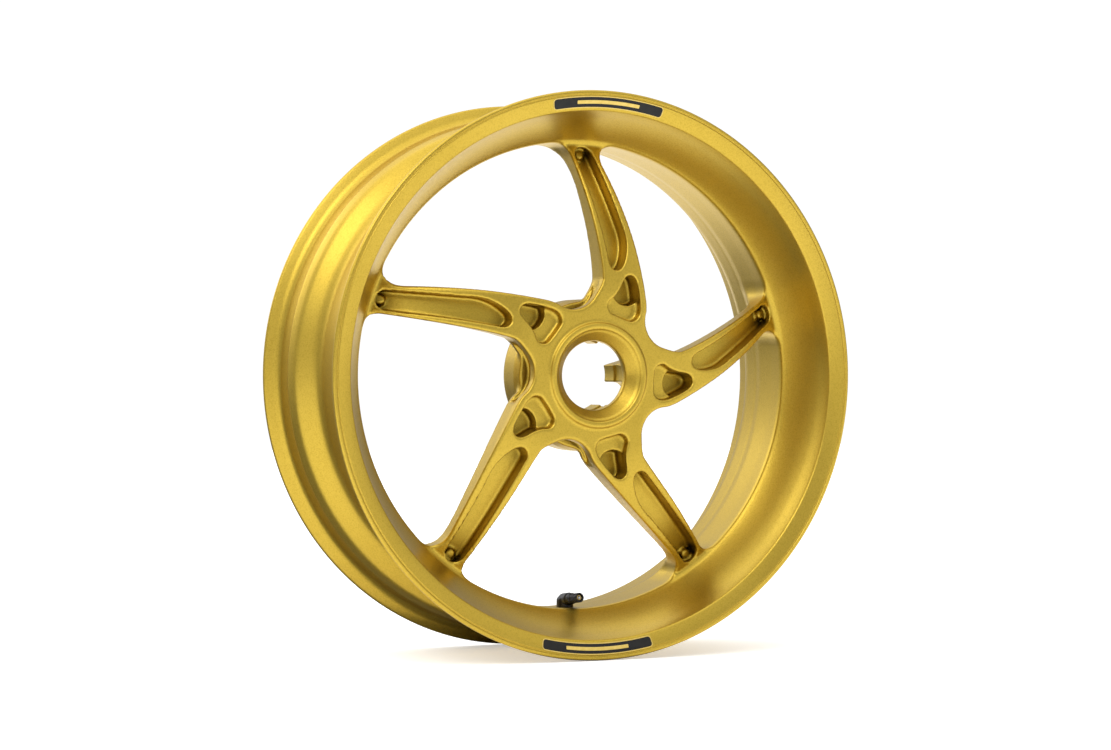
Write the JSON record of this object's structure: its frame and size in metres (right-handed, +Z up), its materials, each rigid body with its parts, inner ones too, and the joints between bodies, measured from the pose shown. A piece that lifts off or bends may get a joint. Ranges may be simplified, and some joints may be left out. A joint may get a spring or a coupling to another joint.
{
  "type": "motorcycle wheel rim",
  "caption": "Forged one-piece motorcycle rear wheel rim with curved pocketed spokes, a large open hub for a single-sided swingarm, and an angled valve with a sprung core.",
  "frame": {"origin": "wheel centre: on the spin axis, midway between the two flanges' outer faces", "axes": "+Y along the spin axis, away from the spoked face that the picture shows; +Z up, with the valve at the bottom; +X to the right seen from the spoked face"},
  "size_m": [0.4636, 0.1697, 0.4646],
  "materials": {
    "gold_forging": "satin gold, fine blasted texture",
    "label_film": "black printed film",
    "valve_black": "black anodised, satin",
    "rubber": "matt black",
    "steel": "plated",
    "brass": "machined",
    "white_plastic": "plain"
  },
  "bodies": {
    "wheel": {"wheel_forging": "gold_forging", "label_upper": "label_film", "label_lower": "label_film", "valve_body": "valve_black", "valve_seal_ring": "rubber", "valve_washer": "steel", "valve_nut": "steel", "valve_core_head": "brass", "valve_core_barrel": "brass", "valve_core_seal": "white_plastic", "valve_core_spring": "steel"},
    "valve_pin": {"valve_core_pin": "steel", "valve_core_cup": "brass", "valve_core_cup_seal": "rubber"}
  },
  "joints": [
    {"name": "valve_pin_press", "type": "slide", "parent": "wheel", "child": "valve_pin", "axis": [0, 0.9925, -0.1219], "range_m": [0, 0.0012], "stiffness_N_per_m": 1500, "springref_m": -0.001, "deforming": ["valve_core_spring"]}
  ]
}
